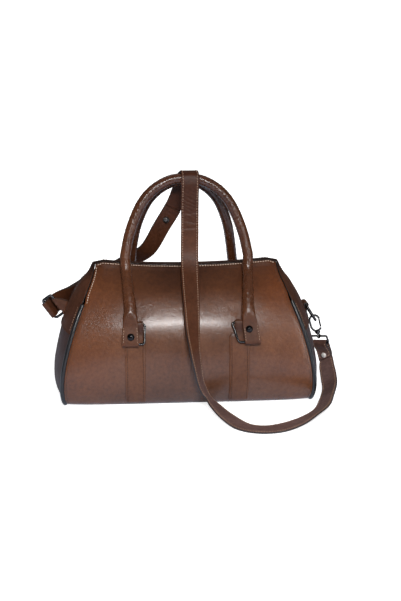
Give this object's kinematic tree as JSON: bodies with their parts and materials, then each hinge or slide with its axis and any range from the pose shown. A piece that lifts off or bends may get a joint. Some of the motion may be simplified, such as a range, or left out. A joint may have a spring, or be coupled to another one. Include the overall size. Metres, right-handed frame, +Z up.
{
  "type": "shoulder bag",
  "caption": "Leather duffel-shaped shoulder bag with a zipped top, piped ends, rolled carry handles on rings and a long clip-on strap laid over the handles.",
  "frame": {"origin": "middle of the underside of the base, on the surface the bag stands on", "axes": "+Z up, +X to the right along the length of the bag as seen from the front, +Y to the back; the front faces -Y"},
  "size_m": [0.4309, 0.2993, 0.3214],
  "materials": {
    "brown_leather": "semi-gloss",
    "dark_leather": "satin",
    "handle_leather": "semi-gloss",
    "strap_leather": "satin",
    "black_piping": "semi-gloss",
    "zip_fabric": "matte",
    "thread": "matte",
    "gunmetal": "dark polished",
    "bright_steel": "polished"
  },
  "bodies": {
    "bag": {"carry_tab_back_left": "brown_leather", "carry_tab_back_right": "brown_leather", "carry_tab_front_left": "brown_leather", "carry_tab_front_right": "brown_leather", "end_left": "dark_leather", "end_right": "dark_leather", "end_ring_left": "gunmetal", "end_ring_right": "gunmetal", "end_tab_left": "dark_leather", "end_tab_right": "dark_leather", "handle_back": "handle_leather", "handle_front": "handle_leather", "handle_ring_back_left": "gunmetal", "handle_ring_back_right": "gunmetal", "handle_ring_front_left": "gunmetal", "handle_ring_front_right": "gunmetal", "handle_rivet_back_left": "gunmetal", "handle_rivet_back_right": "gunmetal", "handle_rivet_front_left": "gunmetal", "handle_rivet_front_right": "gunmetal", "main_panel": "brown_leather", "piping_left": "black_piping", "piping_right": "black_piping", "shoulder_strap": "strap_leather", "snap_hook": "gunmetal", "strap_ring": "gunmetal", "strap_rivet_left": "gunmetal", "strap_rivet_right": "bright_steel", "swivel_eye": "gunmetal", "zip_strip_back": "dark_leather", "zip_strip_front": "dark_leather", "zip_tape": "zip_fabric"},
    "gate": {"hook_gate": "gunmetal"}
  },
  "joints": [
    {"name": "gate_hinge", "type": "hinge", "parent": "bag", "child": "gate", "pos_m": [0.20233, 0, 0.08566], "axis": [0, -1, 0], "range_deg": [0, 25], "stiffness_Nm_per_rad": 0.02}
  ]
}
